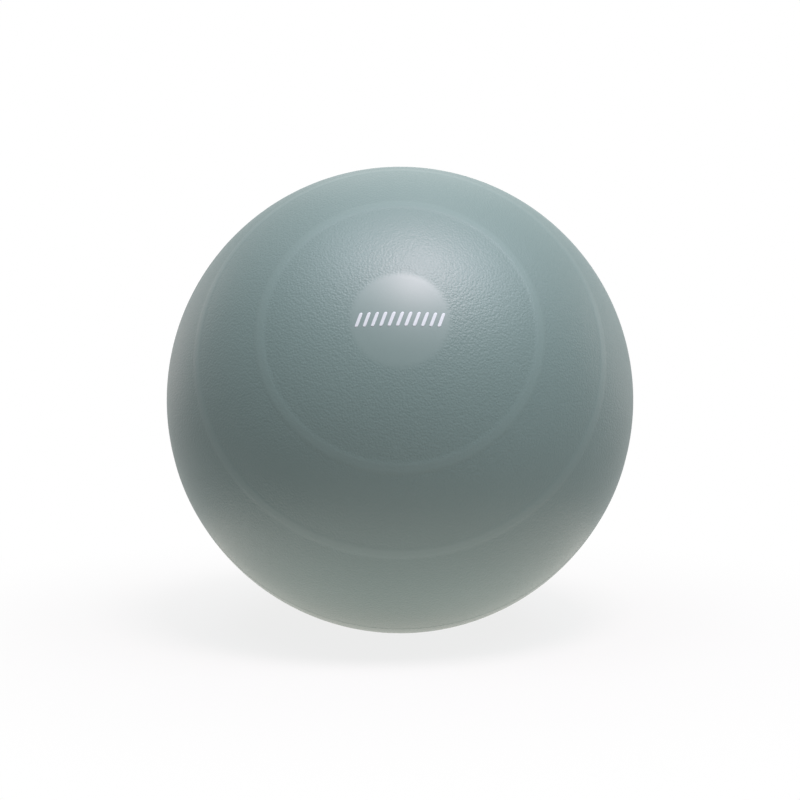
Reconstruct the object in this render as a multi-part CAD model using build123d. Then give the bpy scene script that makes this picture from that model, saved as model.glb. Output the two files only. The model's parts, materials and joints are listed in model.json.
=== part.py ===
from build123d import *
import os
from math import asin, cos, degrees, radians, sin, sqrt

# A small inflatable exercise ball: a moulded vinyl skin, the valve insert that is bonded into its
# rear pole, and the plug that closes the valve. Every piece is a solid of revolution about the
# mould axis, drawn with that axis on Z and the print disc on top. The finished pieces are then
# tilted into the stance in which the ball is shown: origin at the ball's centre, +Z up, the print
# disc at the front (-Y) and the valve at the rear.
# Lengths are in millimetres and angles in degrees. A polar angle is measured at the ball's centre,
# from the middle of the print disc.

# Ball
ball_diameter = 250.0  # over the grained skin, inflated
skin_wall = 0.6  # the stretched wall of the inflated skin
mould_axis_rise = 23.0  # how far the mould axis points above level at the front

# Relief that the mould gives the skin
disc_diameter = 52.0  # smooth disc at each pole
disc_recess = 0.06  # how far the discs lie below the grained skin
disc_flank = 2.0  # width over which the skin dips to a disc
rib_angles = (33.2, 54.8)  # polar angles of the smooth ribs, repeated behind the equator
rib_width = 8.4
rib_height = 0.1
rib_flank = 3.0  # width of each sloping side of a rib
parting_width = 1.2  # the fine line where the two mould halves meet, on the equator
parting_height = 0.12
parting_flank = 0.4  # width of each sloping side of the parting line

# Valve insert
bore_diameter = 5.5
bore_length = 15.5
pocket_diameter = 11.6  # floor of the counterbore that takes the plug's head
pocket_depth = 1.9
pocket_flare = 0.8  # the pocket's wall leans out by this much, to let a fingernail in
collar_lip = 2.0  # from the pocket's mouth to the edge of the skin's hole
flange_width = 6.4  # from the skin's hole to the flange's rim, bonded to the inside of the skin
flange_thickness = 1.2
boss_wall = 1.2  # round the pocket and under its floor
neck_wall = 2.0
edge_break = 0.4  # bevel at the mouth of the bore and at the neck's end

# Plug
head_gap = 0.3  # between the head's rim and the foot of the pocket's wall
head_sink = 0.15  # how far the head lies below the collar
head_lift = 0.05  # between the head and the pocket's floor
head_bevel = 0.3
gate_diameter = 2.4  # moulding mark in the middle of the head
gate_depth = 0.25
stem_length = 14.0  # below the head
nose_length = 3.0  # tapered end of the stem
nose_diameter = 3.2
ring_count = 3  # sealing rings, evenly spaced between the head and the nose
ring_clearance = 0.03  # between a ring and the bore, at each side
ring_height = 0.25  # how far a ring stands out of the stem
ring_width = 1.4

ball_radius = ball_diameter / 2
disc_radius = ball_radius - disc_recess
inner_radius = ball_radius - skin_wall
inner_disc_radius = disc_radius - skin_wall
bore_radius = bore_diameter / 2
pocket_radius = pocket_diameter / 2
mouth_radius = pocket_radius + pocket_flare
collar_radius = mouth_radius + collar_lip


def arc_angle(length):
    """The angle at the ball's centre that this length along the skin takes up."""
    return degrees(length / ball_radius)


def polar_angle(radius, distance_from_axis):
    """Polar angle of a point in the rear half that lies on a sphere and this far from the axis."""
    return 180 - degrees(asin(distance_from_axis / radius))


def point(radius, angle):
    """A point of the half section, this far from the centre and at this polar angle."""
    return (radius * sin(radians(angle)), 0, radius * cos(radians(angle)))


def sphere_arc(radius, start, end):
    """An arc of a sphere's section between two polar angles."""
    return ThreePointArc(point(radius, start), point(radius, (start + end) / 2), point(radius, end))


def stepped_arc(radius, end, bands):
    """The section from the front pole to the polar angle end. Each band is (start, end, lift,
    flank): a stretch that lies lift above the radius, with flanks this wide just inside it."""
    edges = []
    reached = 0
    for band_start, band_end, lift, flank in bands:
        top_start, top_end = band_start, band_end
        if band_start > 0:
            top_start += arc_angle(flank)
            edges.append(sphere_arc(radius, reached, band_start))
            edges.append(Line(point(radius, band_start), point(radius + lift, top_start)))
        if band_end < end:
            top_end -= arc_angle(flank)
        edges.append(sphere_arc(radius + lift, top_start, top_end))
        if band_end < end:
            edges.append(Line(point(radius + lift, top_end), point(radius, band_end)))
        reached = band_end
    return edges


def turned(edges):
    """The solid that a closed half section sweeps round the mould axis."""
    return revolve(make_face(edges), Axis.Z)


def joined(points):
    """Straight edges through the points, each given as (distance from the axis, height)."""
    places = [(across, 0, height) for across, height in points]
    return [Line(a, b) for a, b in zip(places, places[1:])]


def skin_bands(hole_angle):
    """The outside relief, from the print disc at the front to the valve's hole at the rear."""
    disc_edge = degrees(asin(disc_diameter / 2 / ball_radius))
    half_rib = arc_angle(rib_width) / 2
    half_parting = arc_angle(parting_width) / 2
    rear_ribs = [180 - angle for angle in reversed(rib_angles)]
    bands = [(0, disc_edge, -disc_recess, disc_flank)]
    bands += [(a - half_rib, a + half_rib, rib_height, rib_flank) for a in rib_angles]
    bands += [(90 - half_parting, 90 + half_parting, parting_height, parting_flank)]
    bands += [(a - half_rib, a + half_rib, rib_height, rib_flank) for a in rear_ribs]
    bands += [(180 - disc_edge, hole_angle, -disc_recess, disc_flank)]
    return bands


def ball_skin():
    """The one-piece skin. Its inside follows the recessed discs, so the wall stays even."""
    outer_end = polar_angle(disc_radius, collar_radius)
    inner_end = polar_angle(inner_disc_radius, collar_radius)
    outer_bands = skin_bands(outer_end)
    front_disc, rear_disc = outer_bands[0], outer_bands[-1]
    inner_bands = [front_disc, (rear_disc[0], inner_end, -disc_recess, disc_flank)]
    edges = stepped_arc(ball_radius, outer_end, outer_bands)
    edges += stepped_arc(inner_radius, inner_end, inner_bands)
    edges.append(Line(point(disc_radius, outer_end), point(inner_disc_radius, inner_end)))
    edges.append(Line(point(disc_radius, 0), point(inner_disc_radius, 0)))
    return turned(edges)


def pocket_floor():
    """Height of the pocket's flat floor on the mould axis."""
    return pocket_depth - sqrt(disc_radius**2 - mouth_radius**2)


def valve_insert():
    """Collar, flange and neck in one: the collar fills the skin's hole, the flange lies inside."""
    back_radius = inner_disc_radius - flange_thickness
    flange_angle = polar_angle(inner_disc_radius, collar_radius + flange_width)
    collar_face = [polar_angle(disc_radius, r) for r in (mouth_radius, collar_radius)]
    collar_back = polar_angle(inner_disc_radius, collar_radius)
    boss_radius = pocket_radius + boss_wall
    boss_angle = polar_angle(back_radius, boss_radius)
    neck_radius = bore_radius + neck_wall
    floor = pocket_floor()
    boss_end = floor + boss_wall
    neck_end = floor + bore_length
    boss_x, _, boss_z = point(back_radius, boss_angle)
    mouth_x, _, mouth_z = point(disc_radius, collar_face[0])
    edges = [
        sphere_arc(disc_radius, *collar_face),
        Line(point(disc_radius, collar_face[1]), point(inner_disc_radius, collar_back)),
        sphere_arc(inner_disc_radius, collar_back, flange_angle),
        Line(point(inner_disc_radius, flange_angle), point(back_radius, flange_angle)),
        sphere_arc(back_radius, flange_angle, boss_angle),
    ]
    edges += joined([
        (boss_x, boss_z),
        (boss_radius, boss_end),
        (neck_radius, boss_end),
        (neck_radius, neck_end - edge_break),
        (neck_radius - edge_break, neck_end),
        (bore_radius, neck_end),
        (bore_radius, floor + edge_break),
        (bore_radius + edge_break, floor),
        (pocket_radius, floor),
        (mouth_x, mouth_z),
    ])
    return turned(edges)


def valve_plug():
    """Flat head, stem with sealing rings and a tapered nose. It slides out of the bore freely."""
    head_radius = pocket_radius - head_gap
    crown_radius = disc_radius - head_sink
    ring_radius = bore_radius - ring_clearance
    stem_radius = ring_radius - ring_height
    under_head = pocket_floor() - head_lift
    rim_height = -sqrt(crown_radius**2 - (head_radius - head_bevel) ** 2)
    gate_height = -sqrt(crown_radius**2 - (gate_diameter / 2) ** 2)
    gate_floor = gate_depth - crown_radius
    stem_end = under_head + stem_length
    ring_pitch = (stem_length - nose_length) / ring_count
    outline = [(head_radius - head_bevel, rim_height), (head_radius, rim_height + head_bevel)]
    outline += [(head_radius, under_head), (stem_radius, under_head)]
    for number in range(ring_count):
        middle = under_head + (number + 0.5) * ring_pitch
        outline += [
            (stem_radius, middle - ring_width / 2),
            (ring_radius, middle - ring_width / 4),
            (ring_radius, middle + ring_width / 4),
            (stem_radius, middle + ring_width / 2),
        ]
    outline += [(stem_radius, stem_end - nose_length), (nose_diameter / 2, stem_end)]
    outline += [(0, stem_end), (0, gate_floor), (gate_diameter / 2, gate_floor)]
    outline += [(gate_diameter / 2, gate_height)]
    crown = [polar_angle(crown_radius, r) for r in (gate_diameter / 2, head_radius - head_bevel)]
    return turned(joined(outline) + [sphere_arc(crown_radius, *crown)])


def main():
    os.makedirs("parts", exist_ok=True)
    stance = Rotation(90 - mould_axis_rise, 0, 0)
    pieces = {"ball_skin": ball_skin(), "valve_insert": valve_insert(), "valve_plug": valve_plug()}
    for name, piece in pieces.items():
        export_step(stance * piece, f"parts/{name}.step")
        print(name, "volume", round(piece.volume, 1), "mm3")


main()
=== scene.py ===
import bmesh
import bpy
import json
from math import asin, cos, degrees, pi, radians, sin, sqrt, tan
from mathutils import Matrix, Vector


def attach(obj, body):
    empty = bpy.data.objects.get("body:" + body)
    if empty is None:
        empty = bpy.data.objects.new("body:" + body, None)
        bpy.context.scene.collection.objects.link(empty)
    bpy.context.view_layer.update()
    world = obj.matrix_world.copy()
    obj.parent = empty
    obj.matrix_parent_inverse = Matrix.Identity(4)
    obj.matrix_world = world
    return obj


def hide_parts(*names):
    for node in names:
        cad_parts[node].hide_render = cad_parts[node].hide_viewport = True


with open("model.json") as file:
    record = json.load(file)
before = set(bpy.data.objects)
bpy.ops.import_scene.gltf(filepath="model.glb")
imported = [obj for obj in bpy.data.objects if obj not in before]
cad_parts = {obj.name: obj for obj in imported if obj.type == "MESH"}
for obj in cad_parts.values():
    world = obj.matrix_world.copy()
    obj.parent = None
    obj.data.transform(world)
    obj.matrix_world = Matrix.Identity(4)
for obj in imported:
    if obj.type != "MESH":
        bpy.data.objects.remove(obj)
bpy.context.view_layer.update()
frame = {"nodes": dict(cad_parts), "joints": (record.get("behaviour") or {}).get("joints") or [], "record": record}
mm = 0.001
print("frame loaded:", len(frame["nodes"]), "nodes")

# Everything on the ball is turned about the mould axis. Pieces are made with that axis on Z, the
# print disc on top, and are then laid into the frame.
valveAxis = Vector(frame["joints"][0]["axis"]).normalized()
printAxis = -valveAxis
acrossAxis = Vector((1, 0, 0))
mouldToRow = Matrix((acrossAxis, printAxis.cross(acrossAxis), printAxis)).transposed().to_4x4()
floorContact = next(m for m in frame["record"]["mounts"] if m["name"] == "floor_contact")
floorHeight = floorContact["pos_m"][2]

skin = {
    "radius": -floorHeight,
    "wall": 0.6 * mm,
    "discRadius": 26 * mm,
    "discRecess": 0.06 * mm,
    "discFlank": 4.0 * mm,  # the grain fades into a disc over this width
    "ribAngles": (33.2, 54.8),  # degrees from the middle of the print disc
    "ribWidth": 8.4 * mm,
    "ribFlank": 3.0 * mm,  # each side of a rib rolls off over this width
    "ribHeight": 0.1 * mm,
    "partingWidth": 1.2 * mm,
    "partingHeight": 0.12 * mm,
    "fineFlank": 0.5 * mm,
    "holeRadius": 8.6 * mm,  # the skin's hole, which the valve's collar fills
    "holeEdge": 0.2 * mm,  # close rows here keep the hole's rim crisp
    "columns": 256,
    "plainRows": 110,
    "innerRows": 64,
    "edgeRows": 13,  # across a disc's edge and the parting line
    "ribRows": 27,
    "rimRows": 3,
    "weld": 0.01 * mm,
}
collarSphere = skin["radius"] - skin["discRecess"]


def degreesAlong(length):
    return degrees(length / skin["radius"])


def toLinear(hexColour):
    # sRGB hex to the linear RGBA that shaders take
    channels = [int(hexColour[i : i + 2], 16) / 255 for i in (1, 3, 5)]
    linear = [c / 12.92 if c <= 0.04045 else ((c + 0.055) / 1.055) ** 2.4 for c in channels]
    return (*linear, 1)


def addNode(tree, kind, inputs=None, **settings):
    # one node with its settings, and each input set to a value or linked to a node or socket
    node = tree.nodes.new(kind)
    for name, value in settings.items():
        setattr(node, name, value)
    for socket, value in (inputs or {}).items():
        target = node.inputs[socket]
        if isinstance(value, bpy.types.Node):
            value = value.outputs[0]
        if isinstance(value, bpy.types.NodeSocket):
            tree.links.new(value, target)
        else:
            target.default_value = value
    return node


def newMaterial(name):
    material = bpy.data.materials.new(name)
    material.use_nodes = True
    material.node_tree.nodes.clear()
    return material, material.node_tree


def newTree(name, inputs):
    tree = bpy.data.node_groups.new(name, "GeometryNodeTree")
    tree.interface.new_socket("Geometry", in_out="OUTPUT", socket_type="NodeSocketGeometry")
    for label, value in inputs.items():
        if isinstance(value, bpy.types.Material):
            kind = "NodeSocketMaterial"
        elif isinstance(value, int):
            kind = "NodeSocketInt"
        else:
            kind = "NodeSocketFloat"
        tree.interface.new_socket(label, in_out="INPUT", socket_type=kind)
    return tree, addNode(tree, "NodeGroupInput").outputs


def grow(tree, inputs, name):
    # runs the tree on an empty mesh and keeps its result as a plain mesh, laid into the frame
    seed = bpy.data.objects.new(name + "Seed", bpy.data.meshes.new(name + "Seed"))
    bpy.context.scene.collection.objects.link(seed)
    modifier = seed.modifiers.new("grow", "NODES")
    modifier.node_group = tree
    for item in tree.interface.items_tree:
        if item.in_out == "INPUT":
            modifier[item.identifier] = inputs[item.name]
    evaluated = seed.evaluated_get(bpy.context.evaluated_depsgraph_get())
    mesh = bpy.data.meshes.new_from_object(evaluated)
    mesh.name = name
    seed.modifiers.remove(modifier)
    bpy.data.objects.remove(seed)
    mesh.transform(mouldToRow)
    piece = bpy.data.objects.new(name, mesh)
    bpy.context.scene.collection.objects.link(piece)
    return piece


grain = {
    "colour": "#5a6e6b",  # sea green, greyed
    "cloudColour": "#566a67",  # the pigment's faint clouding
    "ribSheenColour": "#5c706d",  # painted sheen: a little lighter over the ribs, standing in for their smoother, glossier finish
    "cloudSize": 70 * mm,
    "cloudDetail": 3,
    "fineDetail": 2,
    "pebble": 1.15 * mm,  # across one pebble
    "rounding": 0.15,  # how soft the creases between pebbles are
    "wobble": 0.3 * mm,  # how far the pebbles stray from round
    "pebbleDepth": 0.12 * mm,  # twice the real depth, which is too fine to show in the render
    "dust": 0.55 * mm,  # the finer tooth on the pebbles
    "dustDepth": 0.05 * mm,
    "roughness": 0.48,
    "polishRoughness": 0.45,
    "ribPolish": 0.6,  # how much of the grain the ribs have lost
    "discGloss": 0.4,  # a satin lacquer on the discs, which were varnished for the print
    "lacquerRoughness": 0.55,
    "ior": 1.5,  # soft PVC
    "patchiness": 0.03,  # how far the roughness strays either side of its value
}


def vinylSkin():
    # plasticised PVC, rotationally moulded in a grit-blasted mould: a satin, pebbled hide that
    # spreads a lamp into a broad soft glow and sparkles at its edge, and that turns smooth where
    # the mould was polished, on the pole discs and the ribs
    material, tree = newMaterial("grainedSatinVinyl")
    place = addNode(tree, "ShaderNodeTexCoord").outputs["Object"]
    disc = addNode(tree, "ShaderNodeAttribute", attribute_name="disc").outputs["Fac"]
    rib = addNode(tree, "ShaderNodeAttribute", attribute_name="rib").outputs["Fac"]
    ribPolish = addNode(tree, "ShaderNodeMath", {0: rib, 1: grain["ribPolish"]}, operation="MULTIPLY")
    polish = addNode(tree, "ShaderNodeMath", {0: disc, 1: ribPolish}, operation="MAXIMUM")
    cloud = addNode(
        tree,
        "ShaderNodeTexNoise",
        {"Vector": place, "Scale": 1 / grain["cloudSize"], "Detail": grain["cloudDetail"]},
    )
    clouded = addNode(
        tree,
        "ShaderNodeMix",
        {0: cloud, 6: toLinear(grain["colour"]), 7: toLinear(grain["cloudColour"])},
        data_type="RGBA",
    )
    # over the ribs the base colour turns a little lighter: a painted sheen for their smoother finish
    toneWithRibSheen = addNode(
        tree,
        "ShaderNodeMix",
        {0: rib, 6: clouded.outputs[2], 7: toLinear(grain["ribSheenColour"])},
        data_type="RGBA",
    )
    smoothed = addNode(
        tree,
        "ShaderNodeMapRange",
        {"Value": polish, "To Min": grain["roughness"], "To Max": grain["polishRoughness"]},
    )
    patches = addNode(
        tree,
        "ShaderNodeMapRange",
        {"Value": cloud, "To Min": -grain["patchiness"], "To Max": grain["patchiness"]},
    )
    rough = addNode(tree, "ShaderNodeMath", {0: smoothed, 1: patches}, operation="ADD")
    wobble = addNode(
        tree,
        "ShaderNodeTexNoise",
        {"Vector": place, "Scale": 1 / grain["pebble"], "Detail": grain["fineDetail"]},
    )
    shifted = addNode(
        tree,
        "ShaderNodeVectorMath",
        {0: wobble.outputs["Color"], 1: (grain["wobble"],) * 3, 2: place},
        operation="MULTIPLY_ADD",
    )
    pebbles = addNode(
        tree,
        "ShaderNodeTexVoronoi",
        {"Vector": shifted, "Scale": 1 / grain["pebble"], "Smoothness": grain["rounding"]},
        feature="SMOOTH_F1",
    )
    tooth = addNode(
        tree,
        "ShaderNodeTexNoise",
        {"Vector": place, "Scale": 1 / grain["dust"], "Detail": grain["fineDetail"]},
    )
    toothShare = grain["dustDepth"] / grain["pebbleDepth"]
    relief = addNode(
        tree,
        "ShaderNodeMath",
        {0: tooth, 1: toothShare, 2: pebbles.outputs["Distance"]},
        operation="MULTIPLY_ADD",
    )
    grained = addNode(tree, "ShaderNodeMath", {0: 1.0, 1: polish}, operation="SUBTRACT")
    height = addNode(tree, "ShaderNodeMath", {0: relief, 1: grained}, operation="MULTIPLY")
    bump = addNode(
        tree,
        "ShaderNodeBump",
        {"Height": height, "Distance": grain["pebbleDepth"], "Strength": 1.0},
        invert=True,
    )
    gloss = addNode(tree, "ShaderNodeMath", {0: disc, 1: grain["discGloss"]}, operation="MULTIPLY")
    shader = addNode(
        tree,
        "ShaderNodeBsdfPrincipled",
        {
            "Base Color": toneWithRibSheen.outputs[2],
            "Roughness": rough,
            "Normal": bump,
            "IOR": grain["ior"],
            "Coat Weight": gloss,
            "Coat Roughness": grain["lacquerRoughness"],
        },
    )
    addNode(tree, "ShaderNodeOutputMaterial", {"Surface": shader})
    return material


smallParts = {"ior": 1.5, "detail": 3, "unevenness": 0.06}  # the last is the stray of the roughness


def plainVinyl(name, colour, roughness, bumpSize, bumpDepth):
    # small parts moulded in soft PVC: an even satin with the faint unevenness of the mould
    material, tree = newMaterial(name)
    place = addNode(tree, "ShaderNodeTexCoord").outputs["Object"]
    texture = addNode(
        tree,
        "ShaderNodeTexNoise",
        {"Vector": place, "Scale": 1 / bumpSize, "Detail": smallParts["detail"]},
    )
    stray = smallParts["unevenness"]
    sheen = addNode(
        tree,
        "ShaderNodeMapRange",
        {"Value": texture, "To Min": roughness - stray, "To Max": roughness + stray},
    )
    bump = addNode(tree, "ShaderNodeBump", {"Height": texture, "Distance": bumpDepth})
    shader = addNode(
        tree,
        "ShaderNodeBsdfPrincipled",
        {
            "Base Color": toLinear(colour),
            "Roughness": sheen,
            "Normal": bump,
            "IOR": smallParts["ior"],
        },
    )
    addNode(tree, "ShaderNodeOutputMaterial", {"Surface": shader})
    return material


skinVinyl = vinylSkin()
insertVinyl = plainVinyl(
    "smoothGreyVinyl",
    "#6b7d7b",
    roughness=0.42,
    bumpSize=0.8 * mm,
    bumpDepth=0.02 * mm,
)
plugVinyl = plainVinyl(
    "whitePlugVinyl",
    "#e4e5e2",
    roughness=0.38,
    bumpSize=0.8 * mm,
    bumpDepth=0.02 * mm,
)
# screen-printed vinyl ink: a thin film that dries almost matt, and not a full white
printInk = plainVinyl(
    "whiteScreenInk",
    "#abb3b6",
    roughness=0.6,
    bumpSize=0.5 * mm,
    bumpDepth=0.01 * mm,
)
print("materials made")

sizes = {
    "Radius": skin["radius"],
    "Wall": skin["wall"],
    "Disc angle": degrees(asin(skin["discRadius"] / skin["radius"])),
    "Disc recess": skin["discRecess"],
    "Disc flank": degreesAlong(skin["discFlank"]),
    "Inner rib angle": skin["ribAngles"][0],
    "Outer rib angle": skin["ribAngles"][1],
    "Half rib": degreesAlong(skin["ribWidth"] / 2),
    "Rib flank": degreesAlong(skin["ribFlank"]),
    "Rib height": skin["ribHeight"],
    "Half parting": degreesAlong(skin["partingWidth"] / 2),
    "Parting height": skin["partingHeight"],
    "Fine flank": degreesAlong(skin["fineFlank"]),
    "Hole angle": 180 - degrees(asin(skin["holeRadius"] / collarSphere)),
    "Hole edge": degreesAlong(skin["holeEdge"]),
    "Columns": skin["columns"],
    "Plain rows": skin["plainRows"],
    "Inner rows": skin["innerRows"],
    "Edge rows": skin["edgeRows"],
    "Rib rows": skin["ribRows"],
    "Rim rows": skin["rimRows"],
    "Weld": skin["weld"],
    "Material": skinVinyl,
}


def skinTree():
    # A row of the skin is a circle about the mould axis. Its place along the section is a number s
    # in degrees: up to the hole it counts along the outside from the print disc, and past it, back
    # along the inside to 360.
    tree, size = newTree("skinOfRevolution", sizes)

    def strip(start, end, count):
        startPoint = addNode(tree, "ShaderNodeCombineXYZ", {"X": start})
        endPoint = addNode(tree, "ShaderNodeCombineXYZ", {"X": end})
        return addNode(
            tree,
            "GeometryNodeMeshLine",
            {"Count": count, "Start Location": startPoint, "Offset": endPoint},
            mode="END_POINTS",
        )

    # fine rows across each edge of the relief, the same in both halves
    halfStrips = []
    for middle, half, count in (
        (size["Disc angle"], size["Disc flank"], size["Edge rows"]),
        (size["Inner rib angle"], size["Half rib"], size["Rib rows"]),
        (size["Outer rib angle"], size["Half rib"], size["Rib rows"]),
    ):
        reach = addNode(tree, "ShaderNodeMath", {0: half, 1: size["Fine flank"]}, operation="ADD")
        start = addNode(tree, "ShaderNodeMath", {0: middle, 1: reach}, operation="SUBTRACT")
        end = addNode(tree, "ShaderNodeMath", {0: middle, 1: reach}, operation="ADD")
        halfStrips.append(strip(start, end, count))
    frontRows = addNode(tree, "GeometryNodeJoinGeometry")
    for rows in halfStrips:
        tree.links.new(rows.outputs[0], frontRows.inputs[0])
    rearRows = addNode(
        tree,
        "GeometryNodeTransform",
        {"Geometry": frontRows, "Translation": (180, 0, 0), "Scale": (-1, 1, 1)},
    )
    reach = addNode(
        tree,
        "ShaderNodeMath",
        {0: size["Half parting"], 1: size["Fine flank"]},
        operation="ADD",
    )
    partingStart = addNode(tree, "ShaderNodeMath", {0: 90, 1: reach}, operation="SUBTRACT")
    partingEnd = addNode(tree, "ShaderNodeMath", {0: 90, 1: reach}, operation="ADD")
    rimStart = addNode(
        tree,
        "ShaderNodeMath",
        {0: size["Hole angle"], 1: size["Hole edge"]},
        operation="SUBTRACT",
    )
    innerStart = addNode(tree, "ShaderNodeMath", {0: 360, 1: size["Hole angle"]}, operation="SUBTRACT")
    innerRim = addNode(tree, "ShaderNodeMath", {0: innerStart, 1: size["Hole edge"]}, operation="ADD")
    allRows = addNode(tree, "GeometryNodeJoinGeometry")
    for rows in (
        frontRows,
        rearRows,
        strip(partingStart, partingEnd, size["Edge rows"]),
        strip(0.0, rimStart, size["Plain rows"]),
        strip(rimStart, size["Hole angle"], size["Rim rows"]),
        strip(innerStart, innerRim, size["Rim rows"]),
        strip(innerRim, 360.0, size["Inner rows"]),
    ):
        tree.links.new(rows.outputs[0], allRows.inputs[0])
    spot = addNode(tree, "GeometryNodeInputPosition")
    spotX = addNode(tree, "ShaderNodeSeparateXYZ", {0: spot})
    points = addNode(tree, "GeometryNodeMeshToPoints", {"Mesh": allRows})
    ordered = addNode(
        tree,
        "GeometryNodeSortElements",
        {"Geometry": points, "Sort Weight": spotX.outputs["X"]},
    )
    count = addNode(tree, "GeometryNodeAttributeDomainSize", {0: ordered}, component="POINTCLOUD")
    rowCount = count.outputs["Point Count"]

    # a flat grid, a turn across and a row high for every number s
    top = addNode(tree, "ShaderNodeMath", {0: rowCount, 1: 1}, operation="SUBTRACT")
    around = addNode(tree, "ShaderNodeMath", {0: size["Columns"], 1: 1}, operation="ADD")
    grid = addNode(
        tree,
        "GeometryNodeMeshGrid",
        {"Size X": 2 * pi, "Size Y": top, "Vertices X": around, "Vertices Y": rowCount},
    )
    gridSpot = addNode(tree, "ShaderNodeSeparateXYZ", {0: addNode(tree, "GeometryNodeInputPosition")})
    half = addNode(tree, "ShaderNodeMath", {0: top, 1: 0.5}, operation="MULTIPLY")
    row = addNode(tree, "ShaderNodeMath", {0: gridSpot.outputs["Y"], 1: half}, operation="ADD")
    nearestRow = addNode(tree, "ShaderNodeMath", {0: row}, operation="ROUND")
    along = addNode(
        tree,
        "GeometryNodeSampleIndex",
        {"Geometry": ordered, "Value": spotX.outputs["X"], "Index": nearestRow},
        data_type="FLOAT",
    )

    # polar angle, and the angle from the nearer pole
    pastHole = addNode(tree, "ShaderNodeMath", {0: along, 1: 180}, operation="GREATER_THAN")
    fromRear = addNode(tree, "ShaderNodeMath", {0: along, 1: 180}, operation="SUBTRACT")
    foldRear = addNode(tree, "ShaderNodeMath", {0: fromRear}, operation="ABSOLUTE")
    polar = addNode(tree, "ShaderNodeMath", {0: 180, 1: foldRear}, operation="SUBTRACT")
    fromSeam = addNode(tree, "ShaderNodeMath", {0: polar, 1: 90}, operation="SUBTRACT")
    seamGap = addNode(tree, "ShaderNodeMath", {0: fromSeam}, operation="ABSOLUTE")
    nearPole = addNode(tree, "ShaderNodeMath", {0: 90, 1: seamGap}, operation="SUBTRACT")

    # how far each kind of relief has risen, from 0 to 1
    ribGaps = []
    for angle in ("Inner rib angle", "Outer rib angle"):
        gap = addNode(tree, "ShaderNodeMath", {0: nearPole, 1: size[angle]}, operation="SUBTRACT")
        ribGaps.append(addNode(tree, "ShaderNodeMath", {0: gap}, operation="ABSOLUTE"))
    ribGap = addNode(tree, "ShaderNodeMath", {0: ribGaps[0], 1: ribGaps[1]}, operation="MINIMUM")
    reliefs = {}
    for label, gap, edge, flank in (
        ("rib", ribGap, size["Half rib"], size["Rib flank"]),
        ("parting", seamGap, size["Half parting"], size["Fine flank"]),
        ("disc", nearPole, size["Disc angle"], size["Disc flank"]),
    ):
        inside = addNode(tree, "ShaderNodeMath", {0: edge, 1: flank}, operation="SUBTRACT")
        reliefs[label] = addNode(
            tree,
            "ShaderNodeMapRange",
            {"Value": gap, "From Min": edge, "From Max": inside, "To Min": 0, "To Max": 1},
            interpolation_type="SMOOTHSTEP",
        )
    ribLift = addNode(
        tree,
        "ShaderNodeMath",
        {0: reliefs["rib"], 1: size["Rib height"]},
        operation="MULTIPLY",
    )
    lift = addNode(
        tree,
        "ShaderNodeMath",
        {0: reliefs["parting"], 1: size["Parting height"], 2: ribLift},
        operation="MULTIPLY_ADD",
    )
    outside = addNode(tree, "ShaderNodeMath", {0: 1, 1: pastHole}, operation="SUBTRACT")
    outerLift = addNode(tree, "ShaderNodeMath", {0: lift, 1: outside}, operation="MULTIPLY")
    recess = addNode(
        tree,
        "ShaderNodeMath",
        {0: reliefs["disc"], 1: size["Disc recess"]},
        operation="MULTIPLY",
    )
    inset = addNode(
        tree,
        "ShaderNodeMath",
        {0: pastHole, 1: size["Wall"], 2: recess},
        operation="MULTIPLY_ADD",
    )
    base = addNode(tree, "ShaderNodeMath", {0: size["Radius"], 1: outerLift}, operation="ADD")
    reach = addNode(tree, "ShaderNodeMath", {0: base, 1: inset}, operation="SUBTRACT")

    # wrap the grid round the mould axis
    polarTurn = addNode(tree, "ShaderNodeMath", {0: polar}, operation="RADIANS")
    polarSin = addNode(tree, "ShaderNodeMath", {0: polarTurn}, operation="SINE")
    polarCos = addNode(tree, "ShaderNodeMath", {0: polarTurn}, operation="COSINE")
    aroundCos = addNode(tree, "ShaderNodeMath", {0: gridSpot.outputs["X"]}, operation="COSINE")
    aroundSin = addNode(tree, "ShaderNodeMath", {0: gridSpot.outputs["X"]}, operation="SINE")
    alongX = addNode(tree, "ShaderNodeMath", {0: polarSin, 1: aroundSin}, operation="MULTIPLY")
    alongY = addNode(tree, "ShaderNodeMath", {0: polarSin, 1: aroundCos}, operation="MULTIPLY")
    direction = addNode(tree, "ShaderNodeCombineXYZ", {"X": alongX, "Y": alongY, "Z": polarCos})
    placed = addNode(
        tree,
        "ShaderNodeVectorMath",
        {0: direction, "Scale": reach},
        operation="SCALE",
    )
    marked = grid
    for label in ("disc", "rib"):
        marked = addNode(
            tree,
            "GeometryNodeStoreNamedAttribute",
            {"Geometry": marked, "Name": label, "Value": reliefs[label]},
            data_type="FLOAT",
            domain="POINT",
        )
    wrapped = addNode(tree, "GeometryNodeSetPosition", {"Geometry": marked, "Position": placed})
    closed = addNode(tree, "GeometryNodeMergeByDistance", {0: wrapped, "Distance": size["Weld"]})
    smooth = addNode(tree, "GeometryNodeSetShadeSmooth", {0: closed})
    single = addNode(tree, "GeometryNodeRealizeInstances", {0: smooth})
    finished = addNode(tree, "GeometryNodeSetMaterial", {0: single, "Material": size["Material"]})
    addNode(tree, "NodeGroupOutput", {0: finished})
    return tree


ballSkin = grow(skinTree(), sizes, "mouldedSkin")
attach(ballSkin, "ball")
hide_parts("ball_skin")
print("skin:", len(ballSkin.data.polygons), "faces")

mark = {
    "Bars": 11,
    "Pitch": 4.0 * mm,
    "Bar width": 1.7 * mm,
    "Bar length": 7.4 * mm,
    "Slant": tan(radians(20)),
    "Sphere": collarSphere,
    "Sunk": 0.02 * mm,  # the ink's underside lies this far in the skin
    "Ink": 0.05 * mm,
    "Points across": 9,
    "Points along": 15,
    "Weld": 0.002 * mm,
    "Material": printInk,
}


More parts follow.
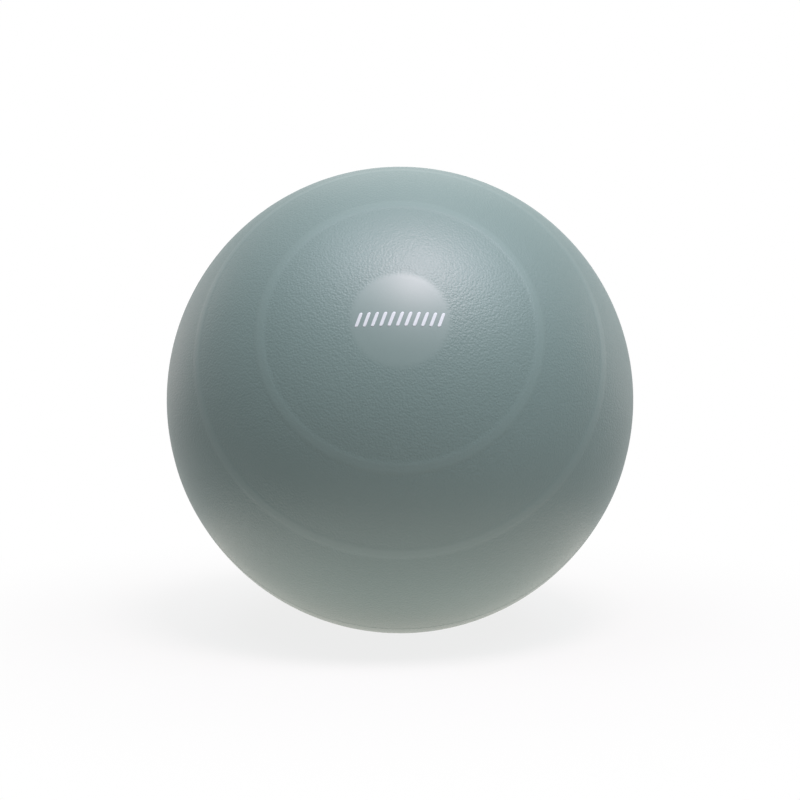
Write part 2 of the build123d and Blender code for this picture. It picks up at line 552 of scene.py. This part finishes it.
def markTree():
    # a row of slanted bars with round ends, pressed onto the sphere of the print disc
    tree, size = newTree("rowOfBars", mark)
    grid = addNode(
        tree,
        "GeometryNodeMeshGrid",
        {
            "Size X": size["Bar width"],
            "Size Y": size["Bar length"],
            "Vertices X": size["Points across"],
            "Vertices Y": size["Points along"],
        },
    )
    spot = addNode(tree, "ShaderNodeSeparateXYZ", {0: addNode(tree, "GeometryNodeInputPosition")})
    endRadius = addNode(tree, "ShaderNodeMath", {0: size["Bar width"], 1: 0.5}, operation="MULTIPLY")
    halfLength = addNode(tree, "ShaderNodeMath", {0: size["Bar length"], 1: 0.5}, operation="MULTIPLY")
    across = addNode(tree, "ShaderNodeMath", {0: spot.outputs["X"], 1: endRadius}, operation="DIVIDE")
    squared = addNode(tree, "ShaderNodeMath", {0: across, 1: across}, operation="MULTIPLY")
    rest = addNode(tree, "ShaderNodeMath", {0: 1, 1: squared}, operation="SUBTRACT")
    rise = addNode(tree, "ShaderNodeMath", {0: rest, 1: 0.5}, operation="POWER")
    short = addNode(tree, "ShaderNodeMath", {0: 1, 1: rise}, operation="SUBTRACT")
    cut = addNode(tree, "ShaderNodeMath", {0: short, 1: endRadius}, operation="MULTIPLY")
    share = addNode(tree, "ShaderNodeMath", {0: cut, 1: halfLength}, operation="DIVIDE")
    keep = addNode(tree, "ShaderNodeMath", {0: 1, 1: share}, operation="SUBTRACT")
    up = addNode(tree, "ShaderNodeMath", {0: spot.outputs["Y"], 1: keep}, operation="MULTIPLY")
    lean = addNode(
        tree,
        "ShaderNodeMath",
        {0: up, 1: size["Slant"], 2: spot.outputs["X"]},
        operation="MULTIPLY_ADD",
    )
    barSpot = addNode(tree, "ShaderNodeCombineXYZ", {"X": lean, "Y": up})
    bar = addNode(tree, "GeometryNodeSetPosition", {"Geometry": grid, "Position": barSpot})
    thick = addNode(tree, "ShaderNodeCombineXYZ", {"Z": size["Ink"]})
    raised = addNode(
        tree,
        "GeometryNodeExtrudeMesh",
        {"Mesh": bar, "Offset": thick, "Offset Scale": 1.0, "Individual": False},
        mode="FACES",
    )
    under = addNode(tree, "GeometryNodeFlipFaces", {0: bar})
    whole = addNode(tree, "GeometryNodeJoinGeometry")
    for part in (raised, under):
        tree.links.new(part.outputs[0], whole.inputs[0])
    closed = addNode(tree, "GeometryNodeMergeByDistance", {0: whole, "Distance": size["Weld"]})
    pitch = addNode(tree, "ShaderNodeCombineXYZ", {"X": size["Pitch"]})
    steps = addNode(tree, "ShaderNodeMath", {0: size["Bars"], 1: 1}, operation="SUBTRACT")
    run = addNode(tree, "ShaderNodeMath", {0: steps, 1: size["Pitch"]}, operation="MULTIPLY")
    left = addNode(tree, "ShaderNodeMath", {0: run, 1: -0.5}, operation="MULTIPLY")
    start = addNode(tree, "ShaderNodeCombineXYZ", {"X": left})
    line = addNode(
        tree,
        "GeometryNodeMeshLine",
        {"Count": size["Bars"], "Start Location": start, "Offset": pitch},
    )
    bars = addNode(tree, "GeometryNodeInstanceOnPoints", {"Points": line, "Instance": closed})
    flat = addNode(tree, "GeometryNodeRealizeInstances", {0: bars})
    place = addNode(tree, "ShaderNodeSeparateXYZ", {0: addNode(tree, "GeometryNodeInputPosition")})
    ground = addNode(
        tree,
        "ShaderNodeCombineXYZ",
        {"X": place.outputs["X"], "Y": place.outputs["Y"], "Z": size["Sphere"]},
    )
    outward = addNode(tree, "ShaderNodeVectorMath", {0: ground}, operation="NORMALIZE")
    bottom = addNode(tree, "ShaderNodeMath", {0: size["Sphere"], 1: size["Sunk"]}, operation="SUBTRACT")
    level = addNode(tree, "ShaderNodeMath", {0: bottom, 1: place.outputs["Z"]}, operation="ADD")
    pressed = addNode(tree, "ShaderNodeVectorMath", {0: outward, "Scale": level}, operation="SCALE")
    laid = addNode(tree, "GeometryNodeSetPosition", {"Geometry": flat, "Position": pressed})
    smooth = addNode(tree, "GeometryNodeSetShadeSmooth", {0: laid})
    single = addNode(tree, "GeometryNodeRealizeInstances", {0: smooth})
    finished = addNode(tree, "GeometryNodeSetMaterial", {0: single, "Material": size["Material"]})
    addNode(tree, "NodeGroupOutput", {0: finished})
    return tree


printMark = grow(markTree(), mark, "printMark")
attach(printMark, "ball")
print("print:", len(printMark.data.polygons), "faces")

valve = {
    "bore": 2.75 * mm,
    "boreLength": 15.5 * mm,
    "pocket": 5.8 * mm,
    "pocketDepth": 1.9 * mm,
    "mouth": 6.6 * mm,
    "flange": 15 * mm,
    "flangeThickness": 1.2 * mm,
    "boss": 7.0 * mm,
    "bossWall": 1.2 * mm,
    "neck": 4.75 * mm,
    "softening": 0.3 * mm,
    "lipSteps": 3,
    "flangeSteps": 4,
}
pocketFloor = valve["pocketDepth"] - sqrt(collarSphere**2 - valve["mouth"] ** 2)


def sphereHeight(sphere, across):
    # height on the mould axis of a point of the rear half of a sphere
    return -sqrt(sphere**2 - across**2)


def sphereRun(sphere, start, end, steps):
    # points along the rear of a sphere between two distances from the axis
    places = [start + (end - start) * i / steps for i in range(steps + 1)]
    return [(across, sphereHeight(sphere, across)) for across in places]


turning = {
    "segments": 96,
    "weld": 0.002 * mm,
    "sliver": 0.001 * mm,
    "zero": 1e-9,
    "sharpest": 160,  # corners that open wider than this many degrees stay as they are
    "runShare": 0.45,  # the most of a run that one rounded corner takes up
    "cornerSteps": 4,
}


def softened(outline, radius):
    # rounds the sharp corners, as far as their runs allow
    rounded = []
    count = len(outline)
    for i, corner in enumerate(outline):
        here = Vector(corner)
        before = Vector(outline[i - 1]) - here
        after = Vector(outline[(i + 1) % count]) - here
        if min(corner[0], before.length, after.length) < turning["zero"]:
            rounded.append(corner)
            continue
        opening = before.angle(after)
        if opening > radians(turning["sharpest"]):
            rounded.append(corner)
            continue
        shorter = min(before.length, after.length)
        back = min(radius / tan(opening / 2), shorter * turning["runShare"])
        first = here + before.normalized() * back
        last = here + after.normalized() * back
        for step in range(turning["cornerSteps"] + 1):
            t = step / turning["cornerSteps"]
            bend = first * (1 - t) ** 2 + here * 2 * t * (1 - t) + last * t**2
            rounded.append((bend.x, bend.y))
    return rounded


def lathe(name, outline, material):
    # turns a closed outline of (distance from the axis, height) into a solid
    shape = bmesh.new()
    segments = turning["segments"]
    rings = []
    for i in range(segments):
        turn = 2 * pi * i / segments
        rings.append([shape.verts.new((x * cos(turn), x * sin(turn), z)) for x, z in outline])
    runs = [(j, (j + 1) % len(outline)) for j in range(len(outline))]
    offAxis = [(j, k) for j, k in runs if outline[j][0] > 0 or outline[k][0] > 0]
    for i in range(segments):
        ring, following = rings[i], rings[(i + 1) % segments]
        for j, k in offAxis:
            shape.faces.new((ring[j], following[j], following[k], ring[k]))
    bmesh.ops.remove_doubles(shape, verts=shape.verts, dist=turning["weld"])
    bmesh.ops.dissolve_degenerate(shape, dist=turning["sliver"], edges=shape.edges)
    bmesh.ops.recalc_face_normals(shape, faces=shape.faces)
    for face in shape.faces:
        face.smooth = True
    mesh = bpy.data.meshes.new(name)
    shape.to_mesh(mesh)
    shape.free()
    mesh.transform(mouldToRow)
    mesh.materials.append(material)
    piece = bpy.data.objects.new(name, mesh)
    bpy.context.scene.collection.objects.link(piece)
    return piece


def insertOutline():
    inner = collarSphere - skin["wall"]
    back = inner - valve["flangeThickness"]
    neckEnd = pocketFloor + valve["boreLength"]
    outline = sphereRun(collarSphere, valve["mouth"], skin["holeRadius"], valve["lipSteps"])
    outline += sphereRun(inner, skin["holeRadius"], valve["flange"], valve["flangeSteps"])
    backEdge = valve["flange"] * back / inner
    outline += sphereRun(back, backEdge, valve["boss"], valve["flangeSteps"])
    outline += [
        (valve["boss"], pocketFloor + valve["bossWall"]),
        (valve["neck"], pocketFloor + valve["bossWall"]),
        (valve["neck"], neckEnd),
        (valve["bore"], neckEnd),
        (valve["bore"], pocketFloor),
        (valve["pocket"], pocketFloor),
    ]
    return outline


insertPiece = lathe("valveInsert", softened(insertOutline(), valve["softening"]), insertVinyl)
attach(insertPiece, "ball")
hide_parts("valve_insert")

plug = {
    "head": 5.5 * mm,
    "headSink": 0.15 * mm,
    "headLift": 0.05 * mm,
    "rim": 0.66 * mm,  # raised edge round the head's dish
    "dishRadius": 4.4 * mm,
    "dish": 0.3 * mm,  # depth
    "dishSteps": 4,
    "gate": 1.2 * mm,  # the moulding mark, a low button in the dish
    "gateFoot": 1.38 * mm,
    "gateSink": 0.09 * mm,  # below the rim
    "stem": 2.47 * mm,
    "ring": 2.72 * mm,
    "ringWidth": 1.4 * mm,
    "ringTop": 0.616 * mm,  # the flat of a ring
    "rings": 3,
    "stemLength": 14 * mm,
    "nose": 1.6 * mm,
    "noseLength": 3 * mm,
    "softening": 0.25 * mm,
}


def plugOutline():
    crown = collarSphere - plug["headSink"]
    underHead = pocketFloor - plug["headLift"]
    stemEnd = underHead + plug["stemLength"]
    ringPitch = (plug["stemLength"] - plug["noseLength"]) / plug["rings"]
    dishTop = crown - plug["dish"]
    outline = [(0, sphereHeight(crown, 0) + plug["gateSink"])]
    outline += [(plug["gate"], sphereHeight(crown, plug["gate"]) + plug["gateSink"])]
    outline += sphereRun(dishTop, plug["gateFoot"], plug["dishRadius"], plug["dishSteps"])
    outline += sphereRun(crown, plug["head"] - plug["rim"], plug["head"], 1)
    outline += [(plug["head"], underHead), (plug["stem"], underHead)]
    for number in range(plug["rings"]):
        middle = underHead + (number + 0.5) * ringPitch
        outline += [
            (plug["stem"], middle - plug["ringWidth"] / 2),
            (plug["ring"], middle - plug["ringTop"] / 2),
            (plug["ring"], middle + plug["ringTop"] / 2),
            (plug["stem"], middle + plug["ringWidth"] / 2),
        ]
    outline += [(plug["stem"], stemEnd - plug["noseLength"]), (plug["nose"], stemEnd), (0, stemEnd)]
    return outline


plugPiece = lathe("valvePlug", softened(plugOutline(), plug["softening"]), plugVinyl)
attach(plugPiece, "plug")
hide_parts("valve_plug")
print("valve made")

stage = {
    "cameraDistance": 8 * skin["radius"],
    "cameraRise": 5,
    "lens": 83.33,
    "sensor": 36,
    "floorSize": 12.0,
    "floorColour": "#b4b3b1",
    "shadowReach": (0.12, 0.36),  # the floor turns from shadowed paint to plain white over this range
    "whiteNearBall": 0.82,
    "fill": 0.15,  # light from all round
    "lampDistance": 1.6,
}
softboxes = {  # azimuth 0 is in front and 90 to the right; degrees, metres and watts
    "keySoftbox": (19, 65, 0.5, 0.5, 32, "#ffeef5"),
    "rightSoftbox": (59, 56, 0.7, 0.7, 14, "#e9f2ff"),
    "leftSoftbox": (-50, 68, 0.7, 0.7, 10.5, "#ecf2ff"),
    "rearSoftbox": (180, 44, 0.9, 0.9, 1.6, "#fffaf6"),
    "rearRightStrip": (124, 8, 0.5, 0.8, 2.0, "#fff2ee"),
    "rearLeftStrip": (-136, 8, 0.5, 0.8, 1.8, "#fff2ee"),
}
lightTable = {  # lies just over the floor, facing up
    "width": 0.4,
    "lift": 1 * mm,
    "power": 0.35,
    "colour": "#fff1e4",
}


def whiteShare(tree):
    # 1 for the rays that see the surroundings as they are: the camera's, mirrored and refracted ones
    path = addNode(tree, "ShaderNodeLightPath")
    direct = addNode(
        tree,
        "ShaderNodeMath",
        {0: path.outputs["Is Camera Ray"], 1: path.outputs["Is Glossy Ray"]},
        operation="MAXIMUM",
    )
    return addNode(
        tree,
        "ShaderNodeMath",
        {0: direct, 1: path.outputs["Is Transmission Ray"]},
        operation="MAXIMUM",
    )


def makeFloor():
    mesh = bpy.data.meshes.new("floor")
    half = stage["floorSize"] / 2
    corners = [(-half, -half), (half, -half), (half, half), (-half, half)]
    mesh.from_pydata([(x, y, floorHeight) for x, y in corners], [], [(0, 1, 2, 3)])
    floor = bpy.data.objects.new("floor", mesh)
    bpy.context.scene.collection.objects.link(floor)
    material, tree = newMaterial("paintedFloor")
    paint = addNode(tree, "ShaderNodeBsdfDiffuse", {"Color": toLinear(stage["floorColour"])})
    white = addNode(tree, "ShaderNodeEmission", {"Color": (1, 1, 1, 1), "Strength": 1.0})
    place = addNode(tree, "ShaderNodeTexCoord").outputs["Object"]
    away = addNode(tree, "ShaderNodeVectorMath", {0: place}, operation="LENGTH")
    fade = addNode(
        tree,
        "ShaderNodeMapRange",
        {
            "Value": away.outputs["Value"],
            "From Min": stage["shadowReach"][0],
            "From Max": stage["shadowReach"][1],
            "To Min": stage["whiteNearBall"],
            "To Max": 1,
        },
        interpolation_type="SMOOTHSTEP",
    )
    share = addNode(tree, "ShaderNodeMath", {0: fade, 1: whiteShare(tree)}, operation="MULTIPLY")
    both = addNode(tree, "ShaderNodeMixShader", {0: share, 1: paint, 2: white})
    addNode(tree, "ShaderNodeOutputMaterial", {"Surface": both})
    mesh.materials.append(material)


def makeWorld():
    world = bpy.data.worlds.new("studio")
    world.use_nodes = True
    tree = world.node_tree
    tree.nodes.clear()
    fill = addNode(tree, "ShaderNodeBackground", {"Color": (1, 1, 1, 1), "Strength": stage["fill"]})
    white = addNode(tree, "ShaderNodeBackground", {"Color": (1, 1, 1, 1), "Strength": 1.0})
    both = addNode(tree, "ShaderNodeMixShader", {0: whiteShare(tree), 1: fill, 2: white})
    addNode(tree, "ShaderNodeOutputWorld", {"Surface": both})
    bpy.context.scene.world = world


def aim(thing, azimuth, rise, distance):
    # places a camera or lamp round the ball, looking at its centre
    a, e = radians(azimuth), radians(rise)
    place = Vector((sin(a) * cos(e), -cos(a) * cos(e), sin(e))) * distance
    turn = place.to_track_quat("Z", "Y").to_matrix().to_4x4()
    thing.matrix_world = Matrix.Translation(place) @ turn
    bpy.context.scene.collection.objects.link(thing)


def makeLamp(name, width, height, power, colour):
    data = bpy.data.lights.new(name, "AREA")
    data.shape = "RECTANGLE"
    data.size, data.size_y = width, height
    data.energy = power
    data.color = toLinear(colour)[:3]
    lamp = bpy.data.objects.new(name, data)
    lamp.visible_camera = False
    return lamp


def makeLights():
    for name, (azimuth, rise, width, height, power, colour) in softboxes.items():
        lamp = makeLamp(name, width, height, power, colour)
        aim(lamp, azimuth, rise, stage["lampDistance"])
    width = lightTable["width"]
    table = makeLamp("lightTable", width, width, lightTable["power"], lightTable["colour"])
    table.data.shape = "DISK"
    faceUp = Matrix.Rotation(pi, 4, "X")
    table.matrix_world = Matrix.Translation((0, 0, floorHeight + lightTable["lift"])) @ faceUp
    bpy.context.scene.collection.objects.link(table)


def makeCamera():
    data = bpy.data.cameras.new("camera")
    data.lens = stage["lens"]
    data.sensor_width = stage["sensor"]
    camera = bpy.data.objects.new("camera", data)
    aim(camera, 0, stage["cameraRise"], stage["cameraDistance"])
    bpy.context.scene.camera = camera


makeFloor()
makeWorld()
makeLights()
makeCamera()
bpy.context.scene.view_settings.view_transform = "Standard"
print("stage made")
